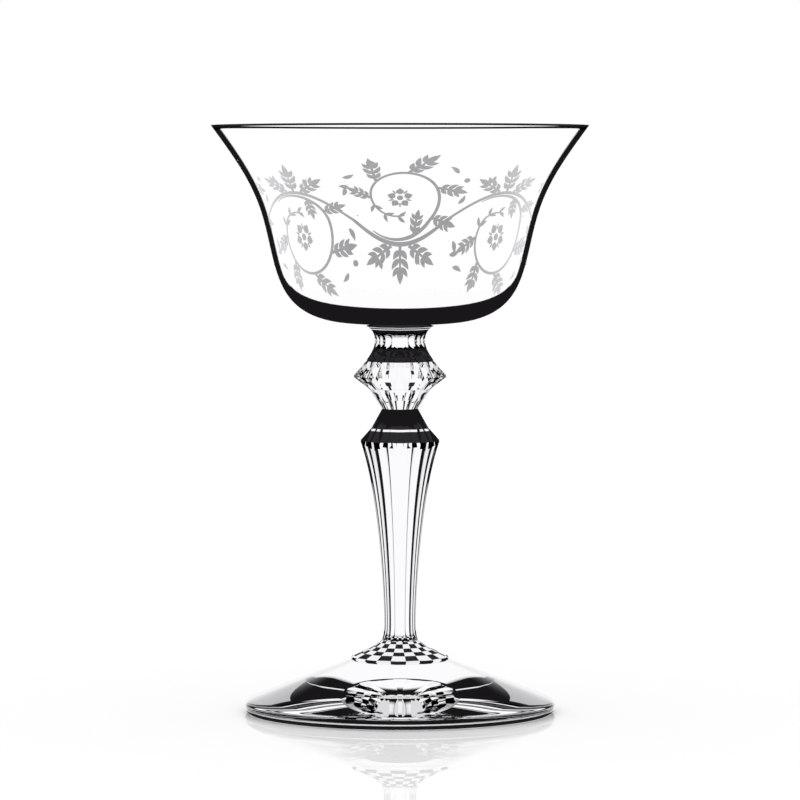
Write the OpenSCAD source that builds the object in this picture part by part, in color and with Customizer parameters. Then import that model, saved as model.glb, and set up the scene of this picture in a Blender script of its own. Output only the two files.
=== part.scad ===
// Cut-crystal stem glass: flared bowl with a printed frieze, on a faceted collar, knop, stem and crown,
// over a round foot.
// Millimetres, +Z up. The origin is the middle of the ring that the foot stands on, and an arris
// between two flats faces -Y.

/* [Facets] */
// Number of flats cut round the collar, knop, stem and crown
facets = 10; // [6:2:12]

/* [Foot] */
// Radius of the foot
foot_r = 39.3; // [34:0.1:44]
// Height of the foot, up to the flat that the crown stands on
foot_h = 13.3; // [9:0.1:16]
// Width of the rounded edge, measured inwards
edge_w = 2.5; // [1.5:0.1:4]
// Height at which the edge starts to round over
edge_h = 3.9; // [3:0.1:6]
// Height of the widest line of the edge
edge_belly_h = 1.8; // [0.8:0.1:2.4]
// Width of the small round under the edge
under_w = 1.8; // [0.8:0.1:2.5]
// Radius of the dish polished into the middle of the underside
dish_r = 19.5; // [12:0.5:26]
// Depth of that dish
dish_d = 0.8; // [0.3:0.1:1.5]
// Margin of the foot's flat round the crown
crown_margin = 0.24; // [0.1:0.02:0.6]

/* [Crown] */
// Half-width of the crown across its flats
crown_r = 12.25; // [11:0.05:14]
// Height of the crown
crown_h = 5; // [4:0.1:7]
// Height of the crown's upright edge
crown_edge_h = 0.15; // [0.1:0.05:1]
// Height of the undercut below that edge
undercut_h = 0.5; // [0.3:0.05:1]
// Depth of the undercut
undercut_d = 0.65; // [0.3:0.05:1]

/* [Stem] */
// Height of the stem
stem_h = 58.7; // [45:0.1:70]
// Half-width of the stem where it leaves the crown
stem_foot_r = 4.6; // [4.2:0.1:5.4]
// Half-width of the stem's narrow waist
waist_r = 3.95; // [3.4:0.05:4.2]
// Height of the waist above the crown
waist_h = 5.4; // [3:0.1:8]
// Half-width of the ridge near the top
ridge_r = 9.95; // [8:0.05:11.5]
// Depth of the ridge below the knop
ridge_drop = 8.1; // [6:0.1:10]
// Lean of the stem's side just under the ridge, in degrees
ridge_lean = 18.7; // [12:0.1:24]
// Half-width of the break in the slope above the ridge
break_r = 7.15; // [6:0.05:7.6]
// Depth of that break below the knop
break_drop = 4.95; // [4:0.05:5.6]
// Half-width of the neck between stem and knop
neck_r = 4.45; // [4:0.05:5.2]

/* [Knop] */
// Height of the knop
knop_h = 12; // [10:0.1:14]
// Half-width of the knop at its widest
knop_r = 11.7; // [10:0.05:13]
// Height of the widest line
knop_girdle_h = 8.2; // [7:0.1:9]
// Half-width of the break in the slope below it
knop_break_r = 7.7; // [6:0.05:9]
// Height of that break
knop_break_h = 5; // [4:0.1:6]

/* [Collar] */
// Height of the collar
collar_h = 9.45; // [8:0.05:11]
// Half-width of the collar's foot, where it meets the knop
collar_foot_r = 8.4; // [7.4:0.05:9.4]
// Half-width of the collar's waist
collar_waist_r = 6.3; // [5.6:0.05:7]
// Height of the waist
collar_waist_h = 5.3; // [4.4:0.05:6]
// Half-width of the flange above the waist
flange_r = 8.5; // [7.6:0.05:9.5]
// Drop of the flange below the bowl
flange_drop = 0.55; // [0.4:0.05:0.9]
// Half-width of the seat under the bowl
seat_r = 5.6; // [5:0.05:6.6]

/* [Bowl] */
// Radius of the rim
rim_r = 47.6; // [42:0.1:52]
// Height of the bowl
bowl_h = 50; // [42:0.5:58]
// Lean of the wall from upright at the rim, in degrees
rim_lean = 36; // [28:0.5:42]
// Radius of the bowl where the flare starts
flare_r = 34.6; // [31:0.1:38]
// Height at which the flare starts
flare_h = 27.1; // [22:0.1:32]
// Lean of the wall from upright where the flare starts, in degrees
flare_lean = 16.3; // [10:0.1:22]
// Radius at which the side has turned into the underside
heel_r = 18.2; // [15:0.1:21]
// Height of that line
heel_h = 0.9; // [0.7:0.05:1.5]
// Rise of the underside at the heel, in degrees
heel_rise = 13; // [9:0.5:17]
// Thickness of the wall
wall = 1.15; // [0.9:0.05:1.6]
// Thickness of the glass at the heel
heel_wall = 2.2; // [1.8:0.1:3]
// Thickness of the bowl's floor at its middle
floor_t = 2.6; // [2.2:0.1:4]
// Length of the polished round on each edge of the lip
lip_round = 0.4; // [0.2:0.05:0.5]

/* [Frieze] */
// Number of bays in the scrolling frieze
bays = 8; // [6:2:10]
// Thickness of the fired print
print_t = 0.07; // [0.05:0.01:0.12]
// Gap between the print's flat facets and the round wall
print_gap = 0.03; // [0.02:0.01:0.05]
// Width of the main vine
vine_w = 0.8; // [0.5:0.05:1.2]
// Length of a leaf
leaf_l = 6.2; // [4.5:0.1:7]
// Width of a leaf
leaf_w = 2.5; // [1.6:0.1:2.8]
// Radius of a rosette
rosette_r = 3; // [2:0.1:3.4]
// Width of a berry
berry_w = 1.5; // [1:0.1:1.8]

/* [Hidden] */
glass_tint = [0.93, 0.95, 0.96, 0.35];
print_tint = [0.63, 0.63, 0.64];
full_turn = 360;
half_turn = 180;
half_step = half_turn / facets;
smooth = 128;

crown_z = foot_h;
stem_z = crown_z + crown_h;
knop_z = stem_z + stem_h;
collar_z = knop_z + knop_h;
bowl_z = collar_z + collar_h;

// Steps along each kind of curve
curve_steps = 6;
taper_steps = 14;
wall_steps = 14;
lip_steps = 3;

// A point at share t of the cubic curve through p[0] and p[3], pulled towards p[1] and p[2]
function on_curve(p, t) = pow(1 - t, 3) * p[0] + 3 * pow(1 - t, 2) * t * p[1]
    + 3 * (1 - t) * pow(t, 2) * p[2] + pow(t, 3) * p[3];

// The direction of that curve at share t, one unit long
function heading(p, t) = let (
    d = pow(1 - t, 2) * (p[1] - p[0]) + 2 * (1 - t) * t * (p[2] - p[1]) + pow(t, 2) * (p[3] - p[2])
) d / norm(d);

// Points along that curve, without its last one
function curve(p, steps = curve_steps) = [for (i = [0:steps - 1]) on_curve(p, i / steps)];

// A step down a wall that leans outwards from upright by an angle
function down(lean, length) = length * [-sin(lean), -cos(lean)];

// A gem-cut solid: every [half-width, height] of the profile, from the bottom up, is one ring of flats
module gem(profile) {
    rings = len(profile);
    points = [for (p = profile, k = [0:facets - 1]) let (
        a = full_turn * k / facets - 90,
        r = p[0] / cos(half_step)
    ) [r * cos(a), r * sin(a), p[1]]];
    sides = [for (i = [0:rings - 2], k = [0:facets - 1]) let (
        n = (k + 1) % facets
    ) [i * facets + k, (i + 1) * facets + k, (i + 1) * facets + n, i * facets + n]];
    under = [for (k = [0:facets - 1]) k];
    top = [for (k = [0:facets - 1]) rings * facets - 1 - k];
    polyhedron(points, concat(sides, [under, top]));
}

// Foot: solid round cone with a soft edge, a flat resting ring and a shallow dish inside the ring
foot_top_r = (crown_r - undercut_d) / cos(half_step) + crown_margin;
shoulder_r = foot_r - edge_w;
cone_fall = (foot_h - edge_h) / (shoulder_r - foot_top_r);
ring_r = foot_r - under_w;
edge_pull_share = 0.55;
belly_pull_share = 0.44;
round_pull_share = 0.55;
edge_points = [
    [shoulder_r, edge_h],
    [shoulder_r + edge_w * edge_pull_share, edge_h - edge_w * edge_pull_share * cone_fall],
    [foot_r, edge_belly_h + (edge_h - edge_belly_h) * belly_pull_share],
    [foot_r, edge_belly_h]
];
under_points = [
    [foot_r, edge_belly_h],
    [foot_r, edge_belly_h * (1 - round_pull_share)],
    [ring_r + under_w * round_pull_share, 0],
    [ring_r, 0]
];
dish_steps = 8;
dish_points = [for (i = [dish_steps:-1:1]) let (share = i / dish_steps)
    [dish_r * share, dish_d * (1 - pow(share, 2))]];

module foot() {
    color(glass_tint)
        rotate_extrude($fn = smooth)
            polygon(concat(
                [[0, dish_d], [0, foot_h], [foot_top_r, foot_h]],
                curve(edge_points),
                curve(under_points),
                [[ring_r, 0]],
                dish_points
            ));
}

// Crown: faceted flared disc that the stem stands on
crown_in_shares = [0.4, 0.75];
crown_up_shares = [0.36, 0.55];
crown_rim_h = undercut_h + crown_edge_h;
crown_cove_w = crown_r - stem_foot_r;
crown_cove_h = crown_h - crown_rim_h;
crown_points = [
    [crown_r, crown_rim_h],
    [crown_r - crown_cove_w * crown_in_shares[0], crown_rim_h + crown_cove_h * crown_up_shares[0]],
    [crown_r - crown_cove_w * crown_in_shares[1], crown_rim_h + crown_cove_h * crown_up_shares[1]],
    [stem_foot_r, crown_h]
];

module foot_crown() {
    color(glass_tint)
        translate([0, 0, crown_z])
            gem(concat(
                [[crown_r - undercut_d, 0], [crown_r, undercut_h]],
                curve(crown_points),
                [[stem_foot_r, crown_h]]
            ));
}

// Stem: faceted baluster that swells from a narrow waist to a sharp ridge, then closes to the neck
ridge_h = stem_h - ridge_drop;
taper_pull_share = 0.35;
waist_pull_share = 0.075;
taper_h = ridge_h - waist_h;
stem_foot_in_share = 0.92;
stem_foot_up_shares = [0.22, 0.48];
stem_foot_points = [
    [stem_foot_r, 0],
    [stem_foot_r + (waist_r - stem_foot_r) * stem_foot_in_share, waist_h * stem_foot_up_shares[0]],
    [waist_r, waist_h * stem_foot_up_shares[1]],
    [waist_r, waist_h]
];
taper_points = [
    [waist_r, waist_h],
    [waist_r, waist_h + taper_h * waist_pull_share],
    [ridge_r, ridge_h] + down(ridge_lean, taper_h * taper_pull_share),
    [ridge_r, ridge_h]
];

module stem() {
    color(glass_tint)
        translate([0, 0, stem_z])
            gem(concat(
                curve(stem_foot_points),
                curve(taper_points, taper_steps),
                [[ridge_r, ridge_h], [break_r, stem_h - break_drop], [neck_r, stem_h]]
            ));
}

// Knop: faceted double cone between the stem's neck and the collar
module knop() {
    color(glass_tint)
        translate([0, 0, knop_z])
            gem([
                [neck_r, 0],
                [knop_break_r, knop_break_h],
                [knop_r, knop_girdle_h],
                [collar_foot_r, knop_h]
            ]);
}

// Collar: faceted spool whose flange spreads under the bowl, with a small seat on top
collar_swell_share = 0.11;
collar_dip_share = 0.48;
flange_rise_share = 0.5;
flange_turn_share = 0.89;
flange_h = collar_h - flange_drop;
collar_lower_points = [
    [collar_foot_r, 0],
    [collar_foot_r, collar_waist_h * collar_swell_share],
    [collar_waist_r, collar_waist_h * collar_dip_share],
    [collar_waist_r, collar_waist_h]
];
collar_upper_points = [
    [collar_waist_r, collar_waist_h],
    [collar_waist_r, collar_waist_h + (flange_h - collar_waist_h) * flange_rise_share],
    [(collar_waist_r + flange_r) / 2, collar_waist_h + (flange_h - collar_waist_h) * flange_turn_share],
    [flange_r, flange_h]
];

module collar() {
    color(glass_tint)
        translate([0, 0, collar_z])
            gem(concat(
                curve(collar_lower_points),
                curve(collar_upper_points),
                [[flange_r, flange_h], [seat_r, collar_h]]
            ));
}

// Bowl: one thin wall that thickens towards the heel and the floor
rim_pull_share = 0.2;
flare_upper_pull_share = 0.18;
flare_lower_pull_share = 0.25;
heel_pull_share = 0.28;
seat_pull_share = 0.27;
thicken_share = 0.45;
rim = [rim_r, bowl_h];
flare = [flare_r, flare_h];
heel = [heel_r, heel_h];
heel_way = [cos(heel_rise), sin(heel_rise)];
flare_curve = [
    rim,
    rim + down(rim_lean, bowl_h * rim_pull_share),
    flare - down(flare_lean, bowl_h * flare_upper_pull_share),
    flare
];
side_curve = [
    flare,
    flare + down(flare_lean, bowl_h * flare_lower_pull_share),
    heel + heel_way * bowl_h * heel_pull_share,
    heel
];
underside_curve = [
    heel,
    [heel_r - heel_h / tan(heel_rise), 0],
    [seat_r + (heel_r - seat_r) * seat_pull_share, 0],
    [seat_r, 0]
];

// A point of the curve moved to its left, into the glass
function inset(p, t, depth) = let (h = heading(p, t)) on_curve(p, t) + depth * [h[1], -h[0]];

// An even swing from 0 to 1 while x goes from 0 to 1
function ease(x) = let (c = min(1, max(0, x))) c * c * (3 - 2 * c);

function side_wall(t) = wall + (heel_wall - wall) * ease((t - thicken_share) / (1 - thicken_share));

rim_inner = rim - [wall / cos(rim_lean), 0];
lip = concat(
    curve([rim_inner + down(rim_lean, lip_round), rim_inner, rim_inner, rim_inner + [lip_round, 0]],
        lip_steps),
    curve([rim - [lip_round, 0], rim, rim, rim + down(rim_lean, lip_round)], lip_steps)
);
inner_wall = concat(
    [for (i = [1:wall_steps]) inset(flare_curve, i / wall_steps, wall)],
    [for (i = [1:wall_steps]) inset(side_curve, i / wall_steps, side_wall(i / wall_steps))],
    [for (i = [1:curve_steps - 1]) inset(underside_curve, i / curve_steps,
        heel_wall + (floor_t - heel_wall) * ease(i / curve_steps))]
);
outer_wall = concat(
    [for (i = [1:wall_steps - 1]) on_curve(flare_curve, i / wall_steps)],
    curve(side_curve, wall_steps),
    curve(underside_curve)
);

module bowl() {
    color(glass_tint)
        translate([0, 0, bowl_z])
            rotate_extrude($fn = smooth)
                polygon(concat(
                    [[0, floor_t]],
                    [for (i = [len(inner_wall) - 1:-1:0]) inner_wall[i]],
                    lip,
                    outer_wall,
                    [[seat_r, 0], [0, 0]]
                ));
}

// Frieze: a fired print on the outside of the wall, drawn as ribbons that follow the wall
frieze_top_share = 0.4;
frieze_low_share = 0.5;

// The wall at share v of the frieze's height, from its top down: a place and the way out of the glass
function frieze_place(v) = let (
    u = frieze_top_share + v * (1 + frieze_low_share - frieze_top_share),
    p = u < 1 ? flare_curve : side_curve,
    t = u < 1 ? u : u - 1,
    h = heading(p, t)
) [on_curve(p, t), [-h[1], h[0]]];

frieze_points = [for (i = [0:wall_steps]) frieze_place(i / wall_steps)[0]];
frieze_l = norm(frieze_points[0] - frieze_points[wall_steps / 2])
    + norm(frieze_points[wall_steps / 2] - frieze_points[wall_steps]);
frieze_r = frieze_points[wall_steps / 2][0];
bay_w = 2 * PI * frieze_r / bays;

// A flat place of the drawing, in millimetres along the band and down it, brought on to the wall
function on_wall(q, lift) = let (
    w = frieze_place(q[1] / frieze_l),
    p = w[0] + lift * w[1],
    a = full_turn * q[0] / (bay_w * bays) - 90
) [p[0] * cos(a), p[0] * sin(a), p[1]];

// One stroke of the print along a spine of flat places, with the width at each. A ring's spine ends one
// whole turn after its start.
module stroke(spine, widths, ring = false) {
    n = len(spine) - (ring ? 1 : 0);
    joins = ring ? n : n - 1;
    sides = [for (i = [0:n - 1]) let (
        before = spine[max(0, i - 1)],
        after = spine[min(len(spine) - 1, i + 1)],
        way = (after - before) / norm(after - before),
        half = widths[i] / 2 * [way[1], -way[0]]
    ) [spine[i] + half, spine[i] - half]];
    points = [for (s = sides, lift = [print_gap, print_gap + print_t], k = [0, 1]) on_wall(s[k], lift)];
    skins = [for (i = [0:joins - 1]) let (a = i * 4, b = (i + 1) % n * 4) each [
        [a, b + 1, b], [a, a + 1, b + 1],
        [a + 2, b + 2, b + 3], [a + 2, b + 3, a + 3],
        [a, b + 2, a + 2], [a, b, b + 2],
        [a + 1, a + 3, b + 3], [a + 1, b + 3, b + 1]
    ]];
    last = (n - 1) * 4;
    ends = [
        [0, 3, 1], [0, 2, 3],
        [last, last + 1, last + 3], [last, last + 3, last + 2]
    ];
    polyhedron(points, ring ? skins : concat(skins, ends));
}

// The main vine swings down at every even bay line and up at every odd one
vine_mid_share = 0.5;
vine_swing_share = 0.2;
vine_steps = 12;
vine_points = [for (i = [0:bays * vine_steps]) [
    i * bay_w / vine_steps,
    frieze_l * (vine_mid_share + vine_swing_share * cos(half_turn * i / vine_steps))
]];

// A place drawn from the hollow that the vine leaves at bay line i, turned over at every other bay line
hollow_share = 0.16;
function in_bay(i, q) = [
    i * bay_w + q[0],
    frieze_l * vine_mid_share + (i % 2 == 0 ? -1 : 1) * (frieze_l * hollow_share + q[1])
];
function polar(r, a) = r * [cos(a), sin(a)];

// A curl that leaves the vine and winds once round the hollow
curl_outer_share = 0.345;
curl_inner_share = 0.165;
curl_start = 232;
curl_turn = 410;
curl_steps = 18;
curl_width_share = 0.8;
function curl(t) = polar(
    frieze_l * (curl_outer_share + (curl_inner_share - curl_outer_share) * t), curl_start + curl_turn * t);

// A pointed leaf that grows from a place, at an angle
leaf_width_shares = [0.1, 1, 0.72, 0.06];
module leaf(i, place, angle, size_share = 1) {
    n = len(leaf_width_shares) - 1;
    stroke(
        [for (k = [0:n]) in_bay(i, place + polar(leaf_l * size_share * k / n, angle))],
        leaf_width_shares * leaf_w * size_share
    );
}

// A round dot, such as a berry or the heart of a rosette
dot_width_shares = [0.5, 1, 0.5];
module dot(i, place, width) {
    stroke([for (k = [-1:1]) in_bay(i, place + [k * width / 2, 0])], dot_width_shares * width);
}

// A rosette of separate petals round a heart
petals = 5;
petal_start_share = 0.42;
petal_width_shares = [0.26, 0.7, 0.42];
heart_share = 0.5;
module rosette(i) {
    dot(i, [0, 0], rosette_r * heart_share);
    for (j = [0:petals - 1])
        stroke(
            [for (k = [0:2]) in_bay(i, polar(
                rosette_r * (petal_start_share + (1 - petal_start_share) * k / 2),
                full_turn * j / petals + 90))],
            petal_width_shares * rosette_r
        );
}

// Leaves round the outside of the curl: share of its run, turn off its radius, size
curl_leaf_shares = [[0.4, -30, 1], [0.52, -35, 0.9], [0.64, -35, 1], [0.75, -30, 0.8]];
// A fan of leaves beyond the vine's crest: share of the frieze's height down to it, angle, size
fan_leaf_shares = [[0, -90, 1], [-0.09, -140, 0.85], [0.09, -40, 0.85]];
fan_share = 0.395;
stalk_gap_share = 0.7;
// Berries in the open corner beside the curl: shares of the frieze's height across and up
berry_place_shares = [[0.425, 0.09], [0.475, 0.17]];

module printed_frieze() {
    color(print_tint)
        translate([0, 0, bowl_z]) {
            stroke(vine_points, [for (p = vine_points) vine_w], ring = true);
            for (i = [0:bays - 1]) {
                rosette(i);
                stroke(
                    [for (k = [0:curl_steps]) in_bay(i, curl(k / curl_steps))],
                    [for (k = [0:curl_steps]) vine_w * curl_width_share]
                );
                for (s = curl_leaf_shares)
                    leaf(i, curl(s[0]) + polar(vine_w * stalk_gap_share, curl_start + curl_turn * s[0]),
                        curl_start + curl_turn * s[0] + s[1], s[2]);
                for (s = fan_leaf_shares)
                    leaf(i, frieze_l * [s[0], -fan_share], s[1], s[2]);
                for (s = berry_place_shares)
                    dot(i, frieze_l * s, berry_w);
            }
        }
}

foot();
foot_crown();
stem();
knop();
collar();
bowl();
printed_frieze();
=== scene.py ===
import math

import bpy
import numpy as np
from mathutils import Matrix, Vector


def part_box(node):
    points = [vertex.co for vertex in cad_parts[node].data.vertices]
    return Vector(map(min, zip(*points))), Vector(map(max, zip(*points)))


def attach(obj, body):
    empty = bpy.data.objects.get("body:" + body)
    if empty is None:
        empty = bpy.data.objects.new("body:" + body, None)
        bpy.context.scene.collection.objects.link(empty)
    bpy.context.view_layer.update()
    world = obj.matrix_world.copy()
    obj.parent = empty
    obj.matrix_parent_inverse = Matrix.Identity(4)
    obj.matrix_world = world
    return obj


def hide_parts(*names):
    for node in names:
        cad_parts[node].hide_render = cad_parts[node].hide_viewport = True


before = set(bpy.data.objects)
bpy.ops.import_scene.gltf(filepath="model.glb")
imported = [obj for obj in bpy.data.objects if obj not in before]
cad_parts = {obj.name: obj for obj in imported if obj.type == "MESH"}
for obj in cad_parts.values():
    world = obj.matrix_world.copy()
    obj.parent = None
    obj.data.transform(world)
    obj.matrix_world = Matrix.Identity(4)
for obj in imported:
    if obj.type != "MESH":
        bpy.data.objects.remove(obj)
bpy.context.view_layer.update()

# Foot
# A solid low cone of clear crystal, pressed and fire-polished, with a soft edge and a shallow dish polished
# into its underside. It stands on a flat ring, and its flat top is fused hot to the crown above it.

MM = 0.001
FLATS = 10  # flats cut round the crown, stem, knop and collar, with an arris at the front
ARRIS_SHARE = 0.3  # share of each flat's width that is taken off again along its two arrises
FLUTE_SHARE = 0.035  # how deep each flat is hollowed, as a share of the half-width
FLAT_STEPS, ARRIS_STEPS = 12, 4
FACET_STEPS = FLAT_STEPS + ARRIS_STEPS


def cut_ring():
    """Points of one ring of the cutting, half-width 1: each flat is the arc 1 - flute (1 - s^2) along its
    normal, with s from -1 to 1 across it, and a straight narrow flat joins it to the next."""
    half_angle = math.pi / FLATS
    s = np.linspace(-1, 1, FLAT_STEPS + 1)
    flat = math.tan(half_angle) * (1 - ARRIS_SHARE) * s + 1j * (1 - FLUTE_SHARE * (1 - s**2))
    step = np.arange(1, ARRIS_STEPS) / ARRIS_STEPS
    arris = flat[-1] + (flat[0] * np.exp(-2j * half_angle) - flat[-1]) * step
    facet = np.concatenate([flat, arris])
    turns = np.exp(-2j * half_angle * np.arange(FLATS))
    ring = (facet[None, :] * turns[:, None]).ravel()[::-1] * np.exp(1j * half_angle)
    return np.stack([ring.real, ring.imag], 1)


CUT = cut_ring()
ROUND = CUT / np.linalg.norm(CUT, axis=1)[:, None]
# Places 2 and 3 hold painted dark and painted bright reflections, put on chosen faces.
SEAM, PAINTED_DARK, PAINTED_BRIGHT = 1, 2, 3  # places in a piece's list of finishes, after its plain one at 0
SHARP = math.radians(12)  # neighbouring faces that turn by more than this meet in a crisp line


def cubic(start, pull_start, pull_end, end, steps):
    """Points of the cubic curve (1-t)^3 a + 3 (1-t)^2 t b + 3 (1-t) t^2 c + t^3 d, t from 0 to 1."""
    t = np.linspace(0, 1, steps + 1)[:, None]
    a, b, c, d = (np.array(p, float) for p in (start, pull_start, pull_end, end))
    return (1 - t) ** 3 * a + 3 * (1 - t) ** 2 * t * b + 3 * (1 - t) * t**2 * c + t**3 * d


def line(start, end, steps=1):
    """Points spaced evenly from start to end."""
    t = np.linspace(0, 1, steps + 1)[:, None]
    return (1 - t) * np.array(start, float) + t * np.array(end, float)


def joined(*stretches):
    """One outline from stretches that each start where the last one ends."""
    return np.concatenate([stretches[0]] + [s[1:] for s in stretches[1:]])


def bands_of(outline):
    """The numbers of the bands between an outline's points, as a column."""
    return np.arange(len(outline) - 1)[:, None]


def turned(name, outline, cut, finishes, seams, marks=0):
    """A closed solid from an outline of (half-width, height) in millimetres: each point is scaled to a ring,
    round or cut, and a fan closes each end. seams names the ends that are fused to a neighbour, and marks
    gives each face's place in the finishes, by band and by step round it."""
    rings = np.array([CUT if c else ROUND for c in cut])
    n = rings.shape[1]
    points = rings * outline[:, 0][:, None, None]
    heights = np.repeat(outline[:, 1][:, None, None], n, 1)
    grid = np.concatenate([points, heights], 2).reshape(-1, 3) * MM
    poles = np.array([[0, 0, outline[0, 1]], [0, 0, outline[-1, 1]]]) * MM
    k = np.arange(n)
    after = (k + 1) % n
    i = bands_of(outline) * n
    bands = np.stack([i + k, i + after, i + n + after, i + n + k], 2).reshape(-1, 4)
    first_pole, last_ring = len(grid), (len(outline) - 1) * n
    under = np.stack([after, k, np.full(n, first_pole)], 1)
    over = np.stack([last_ring + k, last_ring + after, np.full(n, first_pole + 1)], 1)
    faces = bands.tolist() + under.tolist() + over.tolist()
    slots = np.broadcast_to(marks, (len(outline) - 1, n)).astype(np.int32)
    ends = [np.full(n, SEAM) if end in seams else row for end, row in zip(("under", "over"), slots[[0, -1]])]
    mesh = bpy.data.meshes.new(name)
    mesh.from_pydata(np.concatenate([grid, poles]).tolist(), [], faces)
    for finish in finishes:
        mesh.materials.append(finish)
    mesh.polygons.foreach_set("material_index", np.concatenate([slots.ravel(), *ends]).astype(np.int32))
    mesh.polygons.foreach_set("use_smooth", np.ones(len(faces), bool))
    mesh.update()
    mesh.set_sharp_from_angle(angle=SHARP)
    return added(name, mesh)


def added(name, mesh):
    """The mesh as an object of the scene."""
    piece = bpy.data.objects.new(name, mesh)
    bpy.context.scene.collection.objects.link(piece)
    return piece


def node(owner, kind, inputs=None, **settings):
    """One node in a material or world. settings are the node's own properties. inputs gives each input, by
    name or number, a fixed value or the node or socket that feeds it."""
    made = owner.node_tree.nodes.new(kind)
    for name, value in settings.items():
        setattr(made, name, value)
    for name, value in (inputs or {}).items():
        source = value.outputs[0] if isinstance(value, bpy.types.Node) else value
        if isinstance(source, bpy.types.NodeSocket):
            owner.node_tree.links.new(source, made.inputs[name])
        else:
            made.inputs[name].default_value = source
    return made


def shade(hex_colour):
    """Linear RGBA of an sRGB hex colour."""
    s = np.array([int(hex_colour[i : i + 2], 16) for i in (1, 3, 5)]) / 255
    linear = np.where(s <= 0.04045, s / 12.92, ((s + 0.055) / 1.055) ** 2.4)
    return (*linear.tolist(), 1.0)


def blank(kind, name):
    """A new material or world with no nodes."""
    made = kind.new(name)
    made.use_nodes = True
    made.node_tree.nodes.clear()
    return made


WHITE = shade("#ffffff")
# The next two are painted light: a flat pale glow for light trapped in the glass, and a black glow that
# stands for shade and for the dark room mirrored.
PAINTED_GLOW_GREY = shade("#dcdcde")
PAINTED_BLACK = shade("#1a171b")
TOTAL = 0.9999  # share of mirroring from which a surface turns light back whole
HALF = 0.5  # keeps a comparison with a count of turns clear of the whole numbers
CUT_IOR = 1.6  # heavy lead crystal

# Fused joint: two pieces melted together leave no surface to see, so light goes straight through.
fused_joint = blank(bpy.data.materials, "fused_joint")
open_way = node(fused_joint, "ShaderNodeBsdfTransparent")
node(fused_joint, "ShaderNodeOutputMaterial", {"Surface": open_way})


def crystal(name, ior, edge, clear="#fdfdfe", turns=None, goes_on=True, painted_glow=PAINTED_GLOW_GREY, sheen=None, wall=None):
    """Clear polished crystal: it bends light by its index, and what it would mirror, the dark room, is
    painted as a black glow, from edge[0] to edge[1] of mirroring. Where turns is set, light that is turned
    back whole inside goes on, or is painted black at once, and after so many turns it is painted one flat
    glowing colour that is passed in. Where sheen is set, the outside is painted the colour wall instead, a
    painted reflection of the wall, from sheen[0] to sheen[1] of mirroring."""
    made = blank(bpy.data.materials, name)
    bend = node(made, "ShaderNodeBsdfRefraction", {"IOR": ior, "Roughness": 0.0, "Color": shade(clear)})
    # Painted black: a black glow stands in for what the surface mirrors, by the mirroring share.
    dark = node(made, "ShaderNodeEmission", {"Color": PAINTED_BLACK})
    mirrored = node(made, "ShaderNodeFresnel", {"IOR": ior})
    share = node(made, "ShaderNodeMapRange", {"Value": mirrored, "From Min": edge[0], "From Max": edge[1]})
    seen = node(made, "ShaderNodeMixShader", {0: share, 1: bend, 2: dark})
    inside = node(made, "ShaderNodeNewGeometry").outputs["Backfacing"]
    if turns:
        inner = node(made, "ShaderNodeBsdfGlossy", {"Roughness": 0.0, "Color": WHITE}) if goes_on else dark
        count = node(made, "ShaderNodeLightPath").outputs["Glossy Depth"]
        often = node(made, "ShaderNodeMath", {0: count, 1: turns - HALF}, operation="GREATER_THAN")
        # Painted glow: light turned back inside more than turns times is painted one flat colour.
        pale = node(made, "ShaderNodeEmission", {"Color": painted_glow})
        inner = node(made, "ShaderNodeMixShader", {0: often, 1: inner, 2: pale})
        whole = node(made, "ShaderNodeMath", {0: mirrored, 1: TOTAL}, operation="GREATER_THAN")
        kept_in = node(made, "ShaderNodeMath", {0: whole, 1: inside}, operation="MULTIPLY")
        seen = node(made, "ShaderNodeMixShader", {0: kept_in, 1: seen, 2: inner})
    if sheen:
        limits = {"Value": mirrored, "From Min": sheen[0], "From Max": sheen[1]}
        rise = node(made, "ShaderNodeMapRange", limits, interpolation_type="SMOOTHSTEP")
        outside = node(made, "ShaderNodeMath", {0: 1.0, 1: inside}, operation="SUBTRACT")
        mirror = node(made, "ShaderNodeMath", {0: rise, 1: outside}, operation="MULTIPLY")
        # Painted reflection: the outside is painted a flat wall colour where it mirrors.
        painted_wall_reflection = node(made, "ShaderNodeEmission", {"Color": wall})
        seen = node(made, "ShaderNodeMixShader", {0: mirror, 1: seen, 2: painted_wall_reflection})
    node(made, "ShaderNodeOutputMaterial", {"Surface": seen})
    return made


def painted_dark_mirror(name, ior, strength):
    """Crystal painted black from its outside by its strength, as a painted reflection of the dark room, and
    clear from inside.
    """
    made = blank(bpy.data.materials, name)
    bend = node(made, "ShaderNodeBsdfRefraction", {"IOR": ior, "Roughness": 0.0})
    dark = node(made, "ShaderNodeEmission", {"Color": PAINTED_BLACK})
    inside = node(made, "ShaderNodeNewGeometry").outputs["Backfacing"]
    outside = node(made, "ShaderNodeMath", {0: 1.0, 1: inside}, operation="SUBTRACT")
    share = node(made, "ShaderNodeMath", {0: outside, 1: strength}, operation="MULTIPLY")
    seen = node(made, "ShaderNodeMixShader", {0: share, 1: bend, 2: dark})
    node(made, "ShaderNodeOutputMaterial", {"Surface": seen})
    return made


# Foot crystal: clear in front, painted black where light is turned back twice, and at its sides a painted
# grey glow fading to a painted pale reflection.
foot_crystal = crystal(
    "foot_crystal",
    ior=1.56,
    edge=(0.3, 1),
    turns=4,
    painted_glow=shade("#b8b8bb"),
    sheen=(0.2, 0.6),
    wall=shade("#f4f4f5"),
)
# Dark facet: a flat painted black from outside, as a painted reflection of the dark room, with a little of
# what is behind it.
painted_dark_facet = painted_dark_mirror("painted_dark_facet", CUT_IOR, strength=0.985)

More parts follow.
